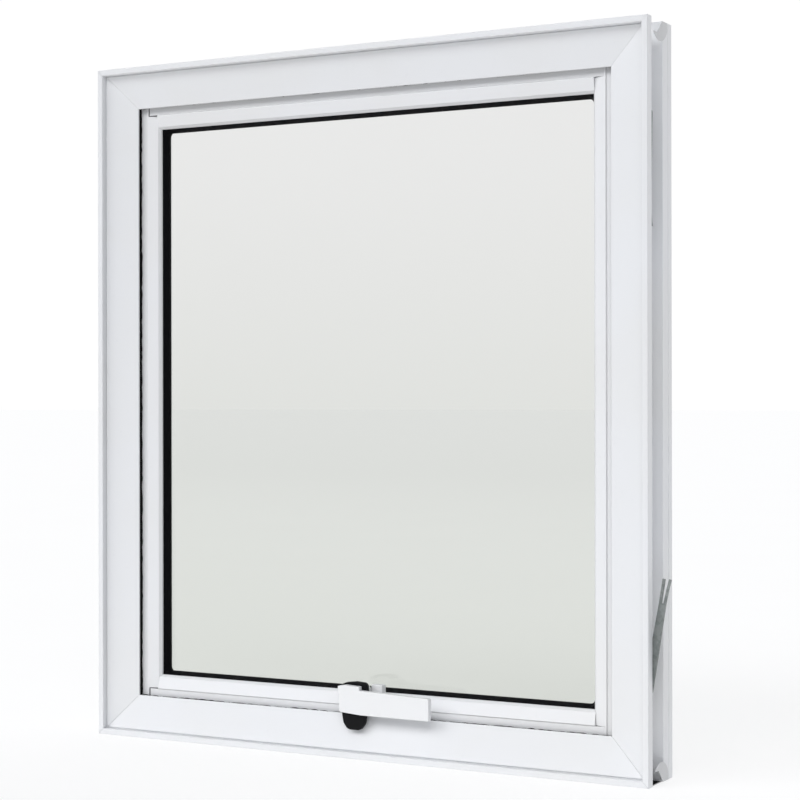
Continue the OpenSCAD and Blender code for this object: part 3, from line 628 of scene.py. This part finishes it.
def head(centre, outward, radius, dome=0.35, cross=0.0, rings=12, spokes=48, skirt=0.6):
    """A domed head on a polar grid: height dome * (1 - (r/R)^2), less a cross-shaped recess of
    that depth, with a straight skirt below the rim."""
    r = np.linspace(0, 1, rings + 1)[1:, None] * radius
    angle = np.linspace(0, 2 * np.pi, spokes, endpoint=False)
    a, b = r * np.cos(angle), r * np.sin(angle)
    arm, reach = radius * 0.17, radius * 0.62
    inside = np.minimum(np.abs(a), np.abs(b)) < arm
    inside &= np.maximum(np.abs(a), np.abs(b)) < reach
    high = dome * (1 - (r / radius) ** 2) - cross * inside
    a, b = np.vstack([a, a[-1:]]), np.vstack([b, b[-1:]])
    high = np.vstack([high, np.full((1, spokes), -skirt)])
    outward = np.array(outward, float)
    side = np.array([0, 0, 1.0])
    across = np.cross(outward, side)
    centre = np.array(centre, float)
    grid = centre + a[..., None] * across + b[..., None] * side + high[..., None] * outward
    tip = centre + (dome - cross) * outward
    points, (quads, caps) = swept(grid)
    fan = np.stack([np.full(spokes, len(points)), np.arange(spokes),
                    (np.arange(spokes) + 1) % spokes], -1)
    return np.vstack([points, tip]), [quads, caps[1:], fan]


def jamb_point(side, inset, depth, z):
    """A point beside one jamb, in millimetres."""
    return ((half_w - inset) * side, front + depth, z)


zinc = plated("zinc_plate", (0.62, 0.63, 0.64))
screw_r, cross_deep, stay_depth, track_face, arm_face = 3.3, 0.7, 36, 21.35, 31.6
track_z, arm_z = (365, 438, 483, 568), (497, 553, 618)
port_z, port_depths = (42, height - 42), (26, 45.5)
latch_screw_x, latch_screw_z = (19, 30), 52
rivet_z, rivet_in, rivet_back, rivet_r = (85, height - 85), 4.5, 12.45, 3
screws = {
    "track_screw_heads": ("frame", "track_screws", [
        head(jamb_point(s, track_face, stay_depth, z), (-s, 0, 0), screw_r, 0.15, cross_deep)
        for s in (-1, 1) for z in track_z]),
    "arm_screw_heads": ("sash", "arm_screws", [
        head(jamb_point(s, arm_face, stay_depth, z), (s, 0, 0), screw_r, 0.1, cross_deep)
        for s in (-1, 1) for z in arm_z]),
    "corner_screw_heads": ("sash", "sash_corner_screws", [
        head(jamb_point(s, sash_out + touch, d, z), (s, 0, 0), screw_r, touch, cross_deep)
        for s in (-1, 1) for z in port_z for d in port_depths]),
    "latch_screw_heads": ("sash", "latch_base_screws", [
        head((x, front + wing_front + touch, latch_screw_z), (0, -1, 0), screw_r, touch,
             cross_deep) for x in latch_screw_x])}
for name, (body, node, heads) in screws.items():
    solid(name, heads, zinc, body, [node], sharp=30)
solid("latch_pivot_head", [head((0, front + lever_front + touch, pivot_z), (0, -1, 0), 5, 0.0,
                                skirt=0.1)],
      white_casting, "latch", ["latch_pivot_screw"])
solid("rivet_heads", [head(jamb_point(s, rivet_in, rivet_back, z), (0, 1, 0), rivet_r, 1.0, skirt=0.3)
                      for s in (-1, 1) for z in rivet_z], zinc, "frame",
      ["tie_rivets"])
refinish(["latch_washer"], zinc)


# Wall ties: galvanised strip, riveted in the side channels so that they fold flat, and swung
# out into the mortar. The tip is slit and one prong is bent back to grip.
tie_l, tie_half, prong, tie_t, tie_front, slit, prong_bend = 100, 4.6, 3.4, 1.5, 10.8, 22, 3.4
lean = {("right", 0): 10}  # the lower right tie rests swung out by 10 degrees


def galvanised_sockets(wire):
    """Dull zinc with crystal spangle and darker weathered clouds."""
    place = wire.node("ShaderNodeTexCoord", {}, {}, "Object")
    spangle = wire.node("ShaderNodeTexVoronoi", {}, {"Vector": place, "Scale": 260}, "Color")
    spangle = wire.node("ShaderNodeSeparateColor", {}, {"Color": spangle}, 0)
    cloud = wire.noise(60, 4)
    tone = wire.blend(spangle * 0.7, (0.20, 0.22, 0.215), (0.34, 0.36, 0.35))
    return {"Base Color": wire.blend(wire.step(cloud, 0.45, 0.75) * 0.6, tone, (0.13, 0.14, 0.135)),
            "Metallic": 0.55, "Roughness": 0.42 + spangle * 0.2,
            "Normal": wire.bump(wire.noise(900, 3), 0.03)}


def flat_bar(z, left, right, back_off):
    """Shell of a flat strip: a thin rectangle at each height, between two edges, set back by
    back_off."""
    y = np.array([0, 0, tie_t, tie_t]) + back_off[:, None]
    x = np.stack([left, right, right, left], -1)
    return swept(np.stack([x, y, np.broadcast_to(z[:, None], x.shape)], -1))


def tie(side, end):
    """A tie with a round end at its rivet, a shank that tapers a little, and two prongs, one of
    them bent back along a parabola. It is turned about its rivet by its lean."""
    turn = np.linspace(0.12, np.pi / 2, 7)
    z = np.concatenate([-tie_half * np.cos(turn), np.linspace(4, tie_l - slit + 0.5, 4)])
    w = np.concatenate([tie_half * np.sin(turn), np.linspace(tie_half, prong, 4)])
    shells = [flat_bar(z, -w, w, 0 * z)]
    t = np.linspace(0, 1, 9)
    z = tie_l - slit + slit * t
    gap = 0.7 + 0.3 * t
    shells.append(flat_bar(z, gap, prong + 0 * t, prong_bend * t ** 2))
    shells.append(flat_bar(z, -prong - 0.4 * t, -gap, 0 * t))
    s, angle = 1 if side == "right" else -1, math.radians(lean.get((side, end), 0))
    placed = []
    for points, faces in shells:
        x = points[:, 0] * math.cos(angle) + points[:, 2] * math.sin(angle)
        up = points[:, 2] * math.cos(angle) - points[:, 0] * math.sin(angle)
        z = rivet_z[end] + (up if end == 0 else -up)
        y = front + tie_front + points[:, 1]
        placed.append((np.stack([s * (half_w - rivet_in + x), y, z], -1), faces))
    return placed


galvanised = shaded("galvanised", galvanised_sockets)
for side in ("left", "right"):
    for end, where in ((0, "bottom"), (1, "top")):
        name = f"{where}_{side}"
        solid("tie_" + name, tie(side, end), galvanised, "tie_" + name,
              ["wall_tie_" + name], ease=0.15)


# The stays: stainless tracks in the jambs, links and sash arms of flat bar, turned pins with
# riveted heads, and nylon shoes that slide. Their shapes stay; brushing runs along them.
def brushed(name, colour, stretch):
    """Stainless strip: fine scratches along its length and soft smears of handling."""
    def sockets(wire):
        scratch, smear = wire.noise(2400, 3, stretch), wire.noise(30, 4)
        return {"Base Color": wire.blend(scratch, colour, tuple(c * 0.8 for c in colour)),
                "Metallic": 0.95, "Roughness": 0.24 + scratch * 0.14 + smear * 0.12,
                "Normal": wire.bump(scratch, 0.008)}
    return shaded(name, sockets)


stainless = brushed("stainless", (0.60, 0.60, 0.59), (1, 1, 0.03))
pin_steel = plated("pin_steel", (0.50, 0.50, 0.50), 0.22)
refinish([f"{p}_{s}" for p in ("stay_track", "stay_link", "sash_arm") for s in ("left", "right")],
         stainless)
refinish(["frame_pivot_pins", "link_pins", "shoe_pins"], pin_steel)
refinish(["stay_shoe_left", "stay_shoe_right"], moulded("nylon", (0.62, 0.60, 0.52), 0.45, 0.01))


# The studio: the frame stands on a pale floor that glows like a light table, in a surround that
# is white behind the window, dimmer beside it and dim where the viewer stands. The key light is
# a long level strip, high in front and mostly to the left, built from five lamps.
floor_half, glow_front, glow_back = 60.0, 0.66, 0.745


def floor_sockets(wire):
    """Glow that rises from front to back and stops under the frame, whose foot covers it. There the
    floor is also near black: a painted contact shadow.
    """
    place = wire.node("ShaderNodeTexCoord", {}, {}, "Object")
    x, y = (wire.node("ShaderNodeSeparateXYZ", {}, {"Vector": place}, axis) for axis in "XY")
    half_d, middle = frame_depth * MM / 2, (front + frame_depth / 2) * MM
    off_x = wire.node("ShaderNodeMath", {"operation": "ABSOLUTE"}, {0: x}) - half_w * MM
    off_y = wire.node("ShaderNodeMath", {"operation": "ABSOLUTE"}, {0: y - middle}) - half_d
    # This mask is 0 under the frame's foot and 1 beyond it; where it is 0 the floor is painted near
    # black and unlit, a painted contact shadow.
    outside = wire.step(off_x.math("MAXIMUM", off_x, off_y), -0.004, 0.0)
    glow = wire.blend(wire.step(y, -7.0, -1.0), (0.0, 0.0, 0.0), (glow_front,) * 3)
    glow = wire.blend(wire.step(y, -1.2, -0.05), glow, (glow_back,) * 3)
    tone = wire.blend(wire.noise(3, 3), (0.28, 0.28, 0.28), (0.30, 0.30, 0.30))
    # Near black base colour under the frame: painted contact shadow.
    return {"Base Color": wire.blend(outside, (0.02, 0.02, 0.02), tone), "Roughness": 0.8,
            "Specular IOR Level": 0.0, "Emission Strength": 1.0,
            "Emission Color": wire.blend(outside, (0.0, 0.0, 0.0), glow)}


floor_mesh = bpy.data.meshes.new("floor")
floor_mesh.from_pydata([(x * floor_half, y * floor_half, 0) for x, y in
                        ((-1, -1), (1, -1), (1, 1), (-1, 1))], [], [(0, 1, 2, 3)])
floor_mesh.materials.append(shaded("pale_floor", floor_sockets))
floor = bpy.data.objects.new("floor", floor_mesh)
bpy.context.scene.collection.objects.link(floor)

world = bpy.data.worlds.new("surround")
bpy.context.scene.world = world
world.use_nodes = True
world.node_tree.nodes.clear()
sky = Wire(world.node_tree)
direction = sky.node("ShaderNodeTexCoord", {}, {}, "Generated")
outdoors = sky.node("ShaderNodeSeparateXYZ", {}, {"Vector": direction}, "Y")
shell = sky.blend(sky.step(outdoors, -1.0, 0.0), (0.18, 0.195, 0.225), (0.21, 0.23, 0.27))
shell = sky.blend(sky.step(outdoors, 0.15, 0.7), shell, (1.01, 1.01, 1.01))
sky.node("ShaderNodeOutputWorld", {}, {"Surface": sky.node("ShaderNodeBackground", {},
                                                           {"Color": shell, "Strength": 1.0})})

key_power, key_angle, key_rise = 0.455, 0.5, 0.85
for i, across in enumerate(np.linspace(-1.15, 0.6, 5)):
    strip = bpy.data.lights.new(f"key_{i}", "SUN")
    strip.angle, strip.energy = key_angle, key_power
    lamp = bpy.data.objects.new(f"key_{i}", strip)
    bpy.context.scene.collection.objects.link(lamp)
    lamp.rotation_mode = "QUATERNION"
    lamp.rotation_quaternion = Vector((-across, 1, -key_rise)).to_track_quat("-Z", "Y")
bpy.context.scene.view_settings.view_transform = "Standard"
